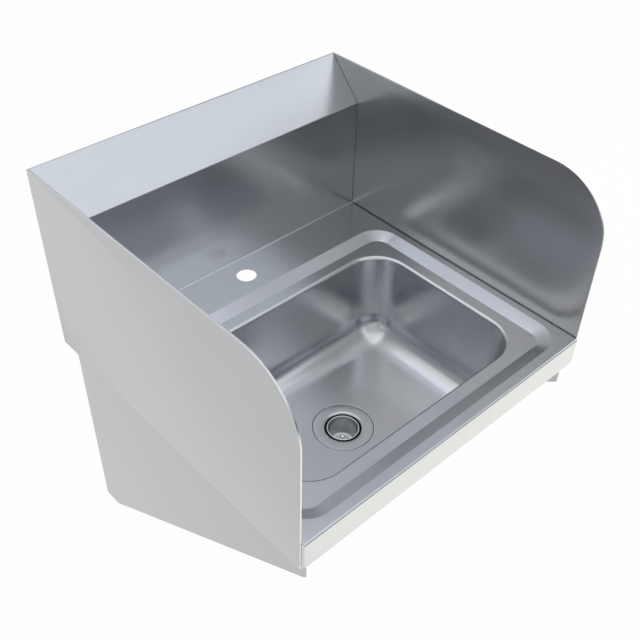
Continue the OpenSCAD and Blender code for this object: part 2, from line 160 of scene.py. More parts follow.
def cleaned(mesh, facesUpFront=False):
    # merges the seams and poles and turns the faces outwards; an open sheet shows the
    # side that looks up and to the front
    work = bmesh.new()
    work.from_mesh(mesh)
    bmesh.ops.remove_doubles(work, verts=work.verts, dist=weldReach * mm)
    bmesh.ops.dissolve_degenerate(work, dist=noEdge * mm, edges=work.edges)
    bmesh.ops.recalc_face_normals(work, faces=work.faces)
    shown = sum((face.normal.z - face.normal.y) * face.calc_area() for face in work.faces)
    if facesUpFront and shown < 0:
        bmesh.ops.reverse_faces(work, faces=work.faces)
    work.to_mesh(mesh)
    work.free()


def thickened(mesh, thickness):
    # the sheet with its thickness added behind the face that shows
    sheet = bpy.data.objects.new(mesh.name, mesh)
    bpy.context.scene.collection.objects.link(sheet)
    solid = sheet.modifiers.new("thickness", "SOLIDIFY")
    solid.thickness = thickness * mm
    solid.offset = -1
    solid.use_even_offset = True
    state = bpy.context.evaluated_depsgraph_get()
    thick = bpy.data.meshes.new_from_object(sheet.evaluated_get(state))
    thick.name = mesh.name
    bpy.data.objects.remove(sheet)
    return thick


def markHighlightRim(mesh, onHighlightRim):
    # writes 1 where the test says that a point is on the rim that gets a painted highlight
    places = np.empty(3 * len(mesh.vertices), np.float32)
    mesh.vertices.foreach_get("co", places)
    marks = onHighlightRim(places.reshape(-1, 3) / mm).astype(np.float32)
    mesh.attributes.new(rimHighlightAttribute, "FLOAT", "POINT").data.foreach_set("value", marks)


def makePiece(name, surface, at, material, node, body="sink",
              sheet=0, sharp=35, caps=(), onHighlightRim=None):
    # places a surface in millimetres at a point of the sink; sheet is its thickness, where
    # it gets one, and sharp the angle in degrees from which an edge stays hard
    points, quads = surface
    mesh = bpy.data.meshes.new(name)
    mesh.from_pydata(((points + at) * mm).tolist(), [], quads.tolist() + list(caps))
    cleaned(mesh, facesUpFront=bool(sheet))
    if sheet:
        mesh = thickened(mesh, sheet)
    if onHighlightRim:
        markHighlightRim(mesh, onHighlightRim)
    mesh.shade_smooth()
    mesh.set_sharp_from_angle(angle=math.radians(sharp))
    mesh.materials.append(material)
    piece = bpy.data.objects.new(name, mesh)
    bpy.context.scene.collection.objects.link(piece)
    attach(piece, body)
    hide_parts(node)
    return piece


# Finishes

steelDetail = {
    "lineScale": 1, "lineDetail": 2, "noiseLow": 0.3, "noiseHigh": 0.7, "reliefDepth": 0.0004,
    "cloudScale": 9, "cloudDetail": 3,
}
mouldedDetail = {"reliefDepth": 0.0003, "speckleDetail": 4, "roughnessSpread": 0.1}


def nodeMaterial(name):
    material = bpy.data.materials.new(name)
    material.use_nodes = True
    return material, material.node_tree.nodes, material.node_tree.links


def addNoise(nodes, scale, detail):
    noise = nodes.new("ShaderNodeTexNoise")
    noise.inputs["Scale"].default_value = scale
    noise.inputs["Detail"].default_value = detail
    return noise


def addRelief(nodes, links, height, strength, depth):
    # bumps the surface by a noise
    relief = nodes.new("ShaderNodeBump")
    relief.inputs["Strength"].default_value = strength
    relief.inputs["Distance"].default_value = depth
    links.new(height, relief.inputs["Height"])
    links.new(relief.outputs["Normal"], nodes["Principled BSDF"].inputs["Normal"])


def addSpread(nodes, links, source, roughness, spread, low=0.0, high=1.0):
    # roughness varies by a noise between roughness - spread and roughness + spread
    polish = nodes.new("ShaderNodeMapRange")
    polish.inputs["From Min"].default_value = low
    polish.inputs["From Max"].default_value = high
    polish.inputs["To Min"].default_value = roughness - spread
    polish.inputs["To Max"].default_value = roughness + spread
    links.new(source, polish.inputs["Value"])
    links.new(polish.outputs["Result"], nodes["Principled BSDF"].inputs["Roughness"])


def addMix(nodes, links, share, first, second):
    # a colour between two others
    mix = nodes.new("ShaderNodeMixRGB")
    mix.inputs["Color1"].default_value = [*first, 1]
    mix.inputs["Color2"].default_value = [*second, 1]
    links.new(share, mix.inputs["Fac"])
    return mix


def steel(name, colour, roughness, grain=(6, 900, 900), spread=0.015, bump=0.002, mottle=0.02, rim=None):
    # sheet steel: fine polishing lines along one way, in roughness and relief, and a
    # faint cloud in the colour; a rim is brighter, a painted highlight on its polished edge
    material, nodes, links = nodeMaterial(name)
    shader = nodes["Principled BSDF"]
    shader.inputs["Metallic"].default_value = 1
    place = nodes.new("ShaderNodeTexCoord").outputs["Object"]
    stretch = nodes.new("ShaderNodeMapping")
    stretch.inputs["Scale"].default_value = grain
    links.new(place, stretch.inputs["Vector"])
    lines = addNoise(nodes, steelDetail["lineScale"], steelDetail["lineDetail"])
    links.new(stretch.outputs["Vector"], lines.inputs["Vector"])
    addSpread(nodes, links, lines.outputs["Fac"], roughness, spread,
              steelDetail["noiseLow"], steelDetail["noiseHigh"])
    if bump:
        addRelief(nodes, links, lines.outputs["Fac"], bump, steelDetail["reliefDepth"])
    cloud = addNoise(nodes, steelDetail["cloudScale"], steelDetail["cloudDetail"])
    links.new(place, cloud.inputs["Vector"])
    tint = addMix(nodes, links, cloud.outputs["Fac"], [part * (1 - mottle) for part in colour],
                  [min(1, part * (1 + mottle)) for part in colour])
    # a brighter colour on the marked rim: a painted highlight
    if rim:
        onHighlightRim = nodes.new("ShaderNodeAttribute")
        onHighlightRim.attribute_name = rimHighlightAttribute
        paintedRimHighlight = addMix(nodes, links, onHighlightRim.outputs["Fac"], colour, rim)
        links.new(tint.outputs["Color"], paintedRimHighlight.inputs["Color1"])
        tint = paintedRimHighlight
    links.new(tint.outputs["Color"], shader.inputs["Base Color"])
    return material


def moulded(name, dark, light, roughness, scale=400, bump=0.15, shine=0.5):
    # rubber, fibre or plastic: one fine speckle in colour, roughness and relief
    material, nodes, links = nodeMaterial(name)
    place = nodes.new("ShaderNodeTexCoord").outputs["Object"]
    speckle = addNoise(nodes, scale, mouldedDetail["speckleDetail"])
    links.new(place, speckle.inputs["Vector"])
    tint = addMix(nodes, links, speckle.outputs["Fac"], dark, light)
    links.new(tint.outputs["Color"], nodes["Principled BSDF"].inputs["Base Color"])
    nodes["Principled BSDF"].inputs["Specular IOR Level"].default_value = shine
    addSpread(nodes, links, speckle.outputs["Fac"], roughness, mouldedDetail["roughnessSpread"])
    addRelief(nodes, links, speckle.outputs["Fac"], bump, mouldedDetail["reliefDepth"])
    return material


finish = {
    "deck": steel("deckSteel", (0.61, 0.622, 0.643), 0.22),
    "bowl": steel("bowlSteel", (0.62, 0.63, 0.65), 0.245, grain=(40, 40, 40), spread=0.01, bump=0),
    # the splashes' edges get a brighter colour: a painted highlight along them
    "splash": steel("splashSteel", (0.49, 0.493, 0.5), 0.26, grain=(900, 5, 900), spread=0.01, bump=0.001,
                    rim=(0.72, 0.725, 0.73)),
    "bracket": steel("bracketSteel", (0.46, 0.465, 0.47), 0.22, grain=(900, 6, 900)),
    "hanger": steel("hangerSteel", (0.46, 0.465, 0.48), 0.3),
    "drain": steel("drainSteel", (0.615, 0.625, 0.638), 0.19, grain=(1500, 1500, 1500)),
    # the cup's rim gets a brighter colour: a painted highlight
    "cup": steel("cupSteel", (0.68, 0.685, 0.7), 0.3, grain=(1500, 1500, 1500), spread=0.02,
                 rim=(0.95, 0.95, 0.95)),
    "knob": steel("knobSteel", (0.97, 0.97, 0.98), 0.05, grain=(2000, 2000, 2000), spread=0.02),
    "pipe": steel("pipeChrome", (0.6, 0.603, 0.615), 0.1, grain=(300, 300, 60)),
    "nut": steel("nutChrome", (0.58, 0.583, 0.595), 0.14, grain=(400, 400, 400)),
    "brass": steel("nutBrass", (0.68, 0.5, 0.24), 0.25, grain=(500, 500, 500)),
    "rubber": moulded("blackRubber", (0.005, 0.005, 0.005), (0.015, 0.015, 0.015), 0.6, shine=0.1),
    "seal": moulded("sealRubber", (0.06, 0.06, 0.06), (0.1, 0.1, 0.1), 0.6),
    "fibre": moulded("fibre", (0.3, 0.2, 0.12), (0.5, 0.38, 0.25), 0.8, scale=900),
    "plastic": moulded("whitePlastic", (0.72, 0.72, 0.68), (0.8, 0.8, 0.76), 0.4),
}
print("finishes made")


# Deck: one folded sheet with the step, the backsplash, the return, the apron and the skirts

deck = {
    "halfWidth": 215.9, "depth": 381.0, "sheet": 1.2,
    "outerBend": 2.5, "innerBend": 1.8, "fold": 1.8, "bendSteps": 10, "columnSteps": 8,
    "stepWidth": 410.0, "stepDepth": 306.0, "stepCorner": 35.0, "stepMargin": 3.0,
    "slopeRun": 16.7, "slopeDrop": 6.35, "stepSoftness": 2.0, "stepSteps": 6,
    "openingWidth": 349.4, "openingDepth": 245.4, "openingCorner": 49.0,
    "plateFrom": -56.0, "plateRows": 20, "holeRadius": 12.7, "holeY": -31.6, "holeBlock": 24.0,
    "holeRings": (0, 0.55, 0.9, 1),
    "apron": 38.1, "apronLip": 5.0, "cornerCut": 4.0,
    "splashHeight": 152.6, "returnDepth": 50.0, "returnRise": 51.3, "hook": 20.0, "easing": 0.6,
}
nearlyNothing = 1e-6
keptDigits = 6
deckLow = np.array(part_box("deck_and_backsplash")[0]) / mm
locknutLow, locknutHigh = (np.array(corner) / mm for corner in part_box("drain_locknut"))
# where the deck meets the backsplash, and the drain's axis at the deck's level
deckAt = np.array([0, deckLow[1] + deck["depth"], deckLow[2] + deck["apron"]])
drainAt = np.array([0, (locknutLow[1] + locknutHigh[1]) / 2, deckAt[2]])
stepMiddle = drainAt[:2] - deckAt[:2]

bend = deck["outerBend"]
edgeX = deck["halfWidth"] - bend
frontY = bend - deck["depth"]
ledgeZ = -deck["slopeDrop"]
cutZ = deck["cornerCut"] - deck["apron"]
topZ = deck["splashHeight"] + deck["returnRise"]

# the step goes down from the deck over a soft edge, the slope and a soft edge to the ledge
stepAnchors, stepWays = cornerFrame(deck["stepWidth"], deck["stepDepth"], deck["stepCorner"])
slopeFoot = deck["stepCorner"] - deck["slopeRun"]
stepProfile = rounded([[deck["stepCorner"] + deck["stepMargin"], 0], [deck["stepCorner"], 0],
                       [slopeFoot, ledgeZ], [slopeFoot - deck["stepMargin"], ledgeZ]],
                      [deck["stepSoftness"]] * 2, deck["stepSteps"])
step = rings(stepAnchors, stepWays, stepProfile)
openingAnchors, openingWays = cornerFrame(deck["openingWidth"], deck["openingDepth"],
                                          deck["openingCorner"])
opening = rings(openingAnchors, openingWays, np.array([[deck["openingCorner"], ledgeZ]]))
ledge = np.concatenate([step[-1:], opening])
step[..., :2] += stepMiddle
ledge[..., :2] += stepMiddle

# the land runs from the step out to a rectangle, whose corners lie on the corners' diagonals
landLow = np.array([-edgeX, frontY]) - stepMiddle
landHigh = np.array([edgeX, deck["plateFrom"]]) - stepMiddle
reach = np.where(stepWays > 0, landHigh - stepAnchors, stepAnchors - landLow)
square = stepWays / np.abs(stepWays).max(axis=1, keepdims=True)
square = np.where(np.abs(square) < nearlyNothing, 0, square)
landEdge = np.column_stack([stepAnchors + square * reach + stepMiddle, np.zeros(len(square))])
land = np.stack([landEdge, step[0]])


def along(axis, value):
    # the sorted places of the land's edge points on one of its sides
    onSide = np.abs(landEdge[:, axis] - value) < nearlyNothing
    return np.unique(np.round(landEdge[onSide, 1 - axis], keptDigits))


def block(xs, ys):
    # a flat rectangle at the deck's level
    x, y = np.meshgrid(xs, ys)
    return grid(np.stack([x, y, 0 * x], axis=-1))


backX = along(1, deck["plateFrom"])
frontX = along(1, frontY)
plateY = np.linspace(deck["plateFrom"], -bend, deck["plateRows"])
skirtY = np.concatenate([along(0, edgeX), plateY[1:]])

# the plate behind the step: a block at each side, and between them rings that go from a
# square to the faucet hole, each point on a straight line to the hole's middle
inner = backX[np.abs(backX) <= deck["holeBlock"]]
left, right = backX[backX <= inner[0]], backX[backX >= inner[-1]]
border = np.vstack([
    np.column_stack([inner[:-1], 0 * inner[:-1] + plateY[0]]),
    np.column_stack([0 * plateY[:-1] + inner[-1], plateY[:-1]]),
    np.column_stack([inner[:0:-1], 0 * inner[:0:-1] + plateY[-1]]),
    np.column_stack([0 * plateY[:0:-1] + inner[0], plateY[:0:-1]])])
faucetAt = np.array([0, deck["holeY"]])
circle = faucetAt + unit(border - faucetAt) * deck["holeRadius"]
plate = border + (circle - border) * np.array(deck["holeRings"])[:, None, None]
plate = np.concatenate([plate, 0 * plate[..., :1]], axis=2)

# the backsplash: up from the deck, over the slanted return and down the hook flange; the
# fold's corner lies radius * ((1 + sin) / cos - 1) of the slope above the arc's highest point
slant = math.atan2(deck["returnRise"], deck["returnDepth"])
foldZ = topZ + deck["fold"] * ((1 + math.sin(slant)) / math.cos(slant) - 1)
backPath = rounded([[-bend, 0], [0, 0], [0, deck["splashHeight"]], [deck["returnDepth"], foldZ],
                    [deck["returnDepth"], topZ - deck["hook"]]],
                   [deck["innerBend"], bend, deck["fold"]], deck["bendSteps"])
eased = deck["halfWidth"] - deck["easing"]
backsplashX = np.concatenate([[-deck["halfWidth"], -eased], backX, [eased, deck["halfWidth"]]])
backsplash = np.zeros((len(backPath), len(backsplashX), 3))
backsplash[..., 0] = backsplashX
backsplash[..., 1:] = backPath[:, None]
way = unit(np.gradient(backPath, axis=0))
backsplash[:, [0, -1], 1] += way[:, 1:] * deck["easing"]  # both side edges ease off to the back
backsplash[:, [0, -1], 2] -= way[:, :1] * deck["easing"]

# the apron with its turned-in lip, and the skirts
frontPath = rounded([[frontY, 0], [-deck["depth"], 0], [-deck["depth"], cutZ]], [bend], deck["bendSteps"])
lipPath = rounded([[-deck["depth"], cutZ], [-deck["depth"], -deck["apron"]],
                   [deck["apronLip"] - deck["depth"], -deck["apron"]]], [bend], deck["bendSteps"])
sidePath = rounded([[edgeX, 0], [deck["halfWidth"], 0], [deck["halfWidth"], cutZ]], [bend],
                   deck["bendSteps"])
skirt = swept(np.vstack([sidePath, [[deck["halfWidth"], -deck["apron"]]]]), skirtY, 1)

# the front corner: an eighth of a ball over a quarter of a cylinder, above the corner cut
lean = np.linspace(0, quarterTurn, deck["bendSteps"] + 1)[:, None]
turn = np.linspace(0, quarterTurn, deck["columnSteps"] + 1)
ball = grid(np.stack([edgeX + bend * np.sin(lean) * np.cos(turn),
                      frontY - bend * np.sin(lean) * np.sin(turn),
                      bend * (np.cos(lean) - 1) + 0 * turn], axis=-1))
fall = np.array([[-bend], [cutZ]])
column = grid(np.stack([edgeX + bend * np.cos(turn) + 0 * fall, frontY - bend * np.sin(turn) + 0 * fall,
                        fall + 0 * turn], axis=-1))

deckSheet = joined(
    grid(land, closeColumns=True), grid(step, closeColumns=True), grid(ledge, closeColumns=True),
    block(left, plateY), block(right, plateY), grid(plate, closeColumns=True), grid(backsplash),
    swept(frontPath, frontX, 0), swept(lipPath, frontX, 0),
    skirt, mirrored(skirt), ball, mirrored(ball), column, mirrored(column))
makePiece("deckSheet", deckSheet, deckAt, finish["deck"], "deck_and_backsplash",
          sheet=deck["sheet"])
print("deck made")


# Bowl: a rolled rim, drafted walls and a floor with a seat for the drain

bowl = {
    "depth": 124.7, "draft": 3.0, "rim": 4.5, "floorRadius": 38.0, "arcSteps": 40, "wallRows": 11,
    "lastRing": 33.0, "floorRings": 30,
    "recess": 38.2, "recessDepth": 2.0, "recessEdge": 0.686, "recessSoftness": 0.7, "recessSteps": 5,
    "hole": 24.45,
}
floorZ = ledgeZ - bowl["depth"]
seatZ = floorZ - bowl["recessDepth"]
bowlUnder = seatZ - deck["sheet"]
halfWallTurn = math.radians(90 - bowl["draft"]) / 2
wallTop = bowl["rim"] * math.tan(halfWallTurn)
wallFoot = wallTop + bowl["depth"] * math.tan(math.radians(bowl["draft"]))

# the wall's path, as distance in from the opening's edge and height
wallPath = rounded([[0, ledgeZ], [wallTop, ledgeZ], [wallFoot, floorZ], [deck["openingCorner"], floorZ]],
                   [bowl["rim"], bowl["floorRadius"]], bowl["arcSteps"])
wallPath = divided(wallPath, bowl["arcSteps"] + 1, bowl["wallRows"])
wallPath = wallPath[wallPath[:, 0] <= bowl["lastRing"]]
walls = rings(openingAnchors, openingWays, np.column_stack([deck["openingCorner"] - wallPath[:, 0],
                                                           wallPath[:, 1]]))

# the floor: rays from the last ring in to the drain's seat, whose height follows from the
# distance to the nearest wall, on the same round between wall and floor
roundEnd = wallFoot + bowl["floorRadius"] * math.tan(halfWallTurn)
seatEdge = bowl["recess"] + bowl["recessSoftness"]
start = walls[-1, :, :2]
ray = unit(start)
share = np.linspace(0, 1, bowl["floorRings"] + 1)[1:, None, None]
flat = start + (ray * seatEdge - start) * share
past = np.abs(flat) - (np.array([deck["openingWidth"], deck["openingDepth"]]) / 2 - deck["openingCorner"])
inCorner = (past > 0).all(axis=2)
inset = deck["openingCorner"] - np.where(inCorner, np.linalg.norm(past, axis=2), past.max(axis=2))
under = np.clip(roundEnd - inset, 0, bowl["floorRadius"])
floorHeight = floorZ + bowl["floorRadius"] - np.sqrt(bowl["floorRadius"] ** 2 - under ** 2)
bowlFloor = np.concatenate([walls[-1:], np.concatenate([flat, floorHeight[..., None]], axis=2)])
seatPath = rounded([[seatEdge, floorZ], [bowl["recess"], floorZ], [bowl["recess"], seatZ],
                    [bowl["hole"], seatZ]],
                   [bowl["recessEdge"], bowl["recessSoftness"]], bowl["recessSteps"])
seat = np.concatenate([seatPath[:, :1, None] * ray, seatPath[:, 1:, None] + 0 * ray[None, :, :1]], axis=2)
bowlSheet = joined(grid(walls, closeColumns=True), grid(bowlFloor, closeColumns=True),
                   grid(seat, closeColumns=True))
makePiece("bowlShell", bowlSheet, drainAt, finish["bowl"], "bowl", sheet=deck["sheet"])
print("bowl made")


# Side splashes: flat plates with a large front corner

splash = {
    "sheet": 1.9, "setback": 2.6, "corner": 76.2, "smallCorner": 1.5, "cornerSteps": 40,
    "edge": 0.35, "edgeSteps": 3, "hair": 0.0175, "sharp": 28,
}


def plateSurface(outline, near, far, edge, steps):
    # a plate between x = near and x = far: its outline carried through a quarter round at
    # each face; the two faces are the caps, one polygon each
    ahead = unit(np.roll(outline, -1, axis=0) - outline)
    behind = np.roll(ahead, 1, axis=0)
    normals = np.stack([ahead[:, 1], -ahead[:, 0]], 1) + np.stack([behind[:, 1], -behind[:, 0]], 1)
    normals /= (normals ** 2).sum(axis=1, keepdims=True) / 2
    turn = np.linspace(0, quarterTurn, steps + 1)
    inwards = np.concatenate([1 - np.sin(turn), 1 - np.cos(turn)]) * edge
    across = np.concatenate([near + (1 - np.cos(turn)) * edge, far - (1 - np.sin(turn)) * edge])
    flat = outline - normals * inwards[:, None, None]
    rows = np.concatenate([across[:, None, None] + 0 * flat[..., :1], flat], axis=2)
    count = len(outline)
    caps = [list(range(count)), list(range(count * (len(rows) - 1), count * len(rows)))]
    return grid(rows, closeColumns=True), caps


splashFront = splash["setback"] - deck["depth"]
splashOutline = rounded([[splashFront, 0], [splashFront, -deck["apron"]],
                         [deck["returnDepth"], -deck["apron"]], [deck["returnDepth"], topZ],
                         [splashFront, topZ], [splashFront, 0]],
                        [splash["smallCorner"]] * 3 + [splash["corner"]], splash["cornerSteps"])[:-1]
for side, word in ((1, "right"), (-1, "left")):
    nearX, farX = sorted([side * deck["halfWidth"], side * (deck["halfWidth"] + splash["sheet"])])
    surface, caps = plateSurface(splashOutline, nearX, farX, splash["edge"], splash["edgeSteps"])
    # the plate's edge between its two faces is marked for the painted highlight
    makePiece(word + "SideSplash", surface, deckAt, finish["splash"],
              word + "_side_splash", sharp=splash["sharp"], caps=caps,
              onHighlightRim=lambda places: (places[:, 0] > nearX + splash["hair"])
              & (places[:, 0] < farX - splash["hair"]))


# Brackets and hanger: the CAD shapes are right, so they only get their finish

for node, name in (("left_support_bracket", "bracket"), ("right_support_bracket", "bracket"),
                   ("wall_hanger", "hanger")):
    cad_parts[node].data.materials.clear()
    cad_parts[node].data.materials.append(finish[name])
print("side panels made")


# Drain: a flange with a rolled throat and a threaded tube

drain = {
    "flange": 37.7, "flangeSheet": 1.2, "sunk": 0.3, "flangeEdge": 0.5, "roll": 3.3,
    "throat": 22.65, "shelfDepth": 6.4, "shelf": 21.15, "tube": 24.15, "tubeLength": 55.0,
    "softness": 0.4, "arcSteps": 8, "segments": 128,
    "thread": 0.55, "pitch": 2.2, "flank": 1.6, "crest": 0.3, "threadGap": 5.0, "threadRows": 260,
    "fadeIn": 3.0, "fadeOut": 2.0,
}
flangeTop = floorZ - drain["sunk"]
flangeUnder = flangeTop - drain["flangeSheet"]
shelfZ = flangeTop - drain["shelfDepth"]
threadTop = flangeUnder - drain["threadGap"]
tubeEnd = flangeTop - drain["tubeLength"]


def threaded(radius, height, angle):
    # a thread that climbs one pitch in each turn: the radius dips by flank * |2 phase - 1|
    # - crest, held between 0 and 1, times the thread's depth
    phase = (height / drain["pitch"] - angle / fullTurn) % 1
    groove = np.clip(drain["flank"] * np.abs(2 * phase - 1) - drain["crest"], 0, 1)
    fadeIn = np.clip((threadTop - height) / drain["fadeIn"], 0, 1)
    fadeOut = np.clip((height - tubeEnd) / drain["fadeOut"], 0, 1)
    onTube = np.abs(radius - drain["tube"]) < nearlyNothing
    return radius - np.where(onTube, drain["thread"] * groove * fadeIn * fadeOut, 0)


soft = drain["softness"]
throatPath = rounded([[drain["tube"], tubeEnd], [drain["shelf"], tubeEnd], [drain["shelf"], shelfZ],
                      [drain["throat"], shelfZ], [drain["throat"], flangeTop],
                      [drain["flange"], flangeTop], [drain["flange"], flangeUnder],
                      [drain["tube"], flangeUnder], [drain["tube"], threadTop]],
                     [soft, soft, soft, drain["roll"], drain["flangeEdge"], drain["flangeEdge"], soft],
                     drain["arcSteps"])
threadRows = np.linspace(threadTop, tubeEnd, drain["threadRows"])[:, None]
drainPath = np.vstack([throatPath, np.hstack([drain["tube"] + 0 * threadRows, threadRows])])
makePiece("drainFlange", turned(drainPath, drain["segments"], threaded), drainAt, finish["drain"],
          "drain_body")


# Rings and nuts that hold the drain and the outlet pipe

stack = {
    "sealOuter": 36.0, "sealSoftness": 0.1,
    "gasketOuter": 36.0, "gasketHeight": 3.0, "gasketSoftness": 0.6,
    "frictionOuter": 33.0, "frictionHeight": 1.0, "frictionSoftness": 0.2,
    "locknutFlats": 60.0, "locknutHeight": 8.0, "locknutChamfer": 1.6, "nutBore": 24.25,
    "nutSegments": 144, "cornerTrim": 0.3, "chamferSteps": 4, "nutSharp": 20, "ringSteps": 4,
}
tailpiece = {
    "outer": 19.05, "bore": 18.05, "length": 100.0,
    "flange": 23.4, "flangeHeight": 1.2, "flare": 19.85, "flareHeight": 4.0,
    "softness": 0.4, "flareSoftness": 0.5, "endSoftness": 0.3,
    "washerOuter": 23.5, "washerHeight": 2.0, "washerSoftness": 0.4,
    "nutFlats": 56.0, "nutHole": 19.95, "nutLip": 2.5, "nutCover": 15.0, "nutChamfer": 1.8,
}


def closedRing(name, outer, bore, low, high, soft, material, node, body="sink"):
    # a ring of rectangular section with soft edges, its path starting halfway up the bore
    half = (low + high) / 2
    path = rounded([[bore, half], [bore, high], [outer, high], [outer, low], [bore, low], [bore, half]],
                   [soft] * 4, stack["ringSteps"])[:-1]
    return makePiece(name, turned(path, closed=True), drainAt, finish[material], node, body)


def hexNut(name, flats, boreRows, low, high, chamfer, material, node, body="sink"):
    # a hexagon nut: its outside is the nearest of the flats, flats / 2 / cos(angle), and a
    # cone of 30 degrees at each end that takes its corners off
    def outside(radius, height, angle):
        hexagon = flats / 2 / np.cos((angle + math.pi / 6) % (math.pi / 3) - math.pi / 6)
        fromEnd = np.minimum(high - height, height - low)
        cone = flats / 2 - stack["cornerTrim"] + fromEnd * math.sqrt(3)
        return np.minimum(radius, np.minimum(hexagon, cone))

    drop = np.linspace(0, chamfer, stack["chamferSteps"] + 1)
    heights = np.concatenate([high - drop, low + drop[::-1]])
    corner = flats / math.sqrt(3)
    path = np.vstack([boreRows, np.column_stack([corner + 0 * heights, heights])])
    return makePiece(name, turned(path, stack["nutSegments"], outside, closed=True), drainAt,
                     finish[material], node, body, sharp=stack["nutSharp"])


gasketUnder = bowlUnder - stack["gasketHeight"]
frictionUnder = gasketUnder - stack["frictionHeight"]
locknutUnder = frictionUnder - stack["locknutHeight"]
closedRing("flangeSeal", stack["sealOuter"], bowl["hole"], seatZ, flangeUnder, stack["sealSoftness"],
           "seal", "flange_seal")
closedRing("drainGasket", stack["gasketOuter"], bowl["hole"], gasketUnder, bowlUnder,
           stack["gasketSoftness"], "rubber", "drain_gasket")
closedRing("frictionWasher", stack["frictionOuter"], bowl["hole"], frictionUnder, gasketUnder,
           stack["frictionSoftness"], "fibre", "friction_washer")
hexNut("drainLocknut", stack["locknutFlats"],
       [[stack["nutBore"], locknutUnder], [stack["nutBore"], frictionUnder]],
       locknutUnder, frictionUnder, stack["locknutChamfer"], "brass", "drain_locknut")

tailTop = tubeEnd - tailpiece["washerHeight"]
tailEnd = tailTop - tailpiece["length"]
tailMiddle = (tailTop + tailEnd) / 2
tailFlangeEnd = tailTop - tailpiece["flangeHeight"]
couplingLow, couplingHigh = tailFlangeEnd - tailpiece["nutLip"], tubeEnd + tailpiece["nutCover"]
closedRing("tailpieceWasher", tailpiece["washerOuter"], tailpiece["bore"], tailTop, tubeEnd,
           tailpiece["washerSoftness"], "plastic", "tailpiece_washer")
hexNut("couplingNut", tailpiece["nutFlats"],
       [[tailpiece["nutHole"], couplingLow], [tailpiece["nutHole"], tailFlangeEnd],
        [stack["nutBore"], tailFlangeEnd], [stack["nutBore"], couplingHigh]],
       couplingLow, couplingHigh, tailpiece["nutChamfer"], "nut", "coupling_nut")
soft, endSoft = tailpiece["softness"], tailpiece["endSoftness"]
tailPath = rounded([[tailpiece["bore"], tailMiddle], [tailpiece["bore"], tailTop],
                    [tailpiece["flange"], tailTop], [tailpiece["flange"], tailFlangeEnd],
                    [tailpiece["flare"], tailFlangeEnd],
                    [tailpiece["outer"], tailFlangeEnd - tailpiece["flareHeight"]],
                    [tailpiece["outer"], tailEnd], [tailpiece["bore"], tailEnd],
                    [tailpiece["bore"], tailMiddle]],
                   [soft, soft, soft, endSoft, tailpiece["flareSoftness"], endSoft, endSoft],
                   stack["ringSteps"])[:-1]
makePiece("tailpiecePipe", turned(tailPath, closed=True), drainAt, finish["pipe"],
          "tailpiece")
print("drain made")


# Strainer: a cup with holes in its floor, a rubber ring under its rim, and a knob

cup = {
    "drop": 1.4, "rim": 20.3, "sheet": 0.6, "top": 19.6, "bottom": 16.9, "depth": 28.0,
    "lip": 0.55, "lipTurn": 0.57, "edge": 2.0, "arcSteps": 10, "paintedHighlightBand": 0.4,
    "floorEdge": 13.0, "middleEdge": 7.5, "postEdge": 3.4, "postHole": 2.0,
    "holeRadius": 1.5, "outerHoles": 12, "outerRing": 9.5, "innerHoles": 6, "innerRing": 5.6,
    "holeRings": (0, 0.6, 1), "segments": 96,
    "sealOuter": 22.3, "sealBore": 19.9, "sealGap": 0.3, "sealSoftness": 0.5,
}
knob = {
    "radius": 3.1, "height": 13.5, "neck": 2.4, "neckTop": 2.2, "thread": 1.9, "threadLength": 3.6,
    "softness": 0.1, "tipSoftness": 0.3, "ballSteps": 23, "segments": 48, "arcSteps": 4,
    "nutFlats": 7.0, "nutBore": 2.0, "nutHeight": 3.0, "nutChamfer": 0.5,
}
rimZ = flangeTop - cup["drop"]
cupFloor = rimZ - cup["depth"]
cupUnder = cupFloor - cup["sheet"]
cupPath = rounded([[cup["floorEdge"], cupFloor], [cup["bottom"] - cup["sheet"], cupFloor],
                   [cup["top"] - cup["sheet"], rimZ], [cup["rim"], rimZ],
                   [cup["rim"], rimZ - cup["lipTurn"]]],
                  [cup["edge"], cup["lip"], cup["lip"]], cup["arcSteps"])


def holedRing(count, ring, inside, outside):
    # a flat ring of equal cells, each with a round hole: lines run straight from the cell's
    # border to the hole's edge, and the cell is then turned to each of its places
    half = math.pi / count
    share = np.linspace(0, 1, cup["segments"] // count + 1)[:-1]
    angle = half * (2 * share - 1)
    edge = np.concatenate([
        np.stack([outside + 0 * share, angle], 1),
        np.stack([outside + (inside - outside) * share, half + 0 * share], 1),
        np.stack([inside + 0 * share, -angle], 1),
        np.stack([inside + (outside - inside) * share, -half + 0 * share], 1)])
    border = edge[:, :1] * np.stack([np.cos(edge[:, 1]), np.sin(edge[:, 1])], 1)
    holeMiddle = np.array([ring, 0])
    rim = holeMiddle + unit(border - holeMiddle) * cup["holeRadius"]
    cell = border + (rim - border) * np.array(cup["holeRings"])[:, None, None]
    cells = []
    for turn in 2 * half * np.arange(count):
        x = cell[..., 0] * math.cos(turn) - cell[..., 1] * math.sin(turn)
        y = cell[..., 0] * math.sin(turn) + cell[..., 1] * math.cos(turn)
        cells.append(grid(np.stack([x, y, cupFloor + 0 * x], axis=-1), closeColumns=True))
    return joined(*cells)


cupSheet = joined(
    turned(cupPath, cup["segments"]),
    holedRing(cup["outerHoles"], cup["outerRing"], cup["middleEdge"], cup["floorEdge"]),
    holedRing(cup["innerHoles"], cup["innerRing"], cup["postEdge"], cup["middleEdge"]),
    turned(np.array([[cup["postHole"], cupFloor], [cup["postEdge"], cupFloor]]), cup["segments"]))
# the top band of the cup's rim is marked for the painted highlight
highlightFrom = drainAt[2] + rimZ - cup["paintedHighlightBand"]
makePiece("strainerCup", cupSheet, drainAt, finish["cup"], "strainer_cup", "strainer",
          sheet=cup["sheet"], onHighlightRim=lambda places: places[:, 2] > highlightFrom)
closedRing("cupSealRing", cup["sealOuter"], cup["sealBore"], shelfZ + cup["sealGap"], rimZ - cup["sheet"],
           cup["sealSoftness"], "rubber", "cup_seal_ring", "strainer")

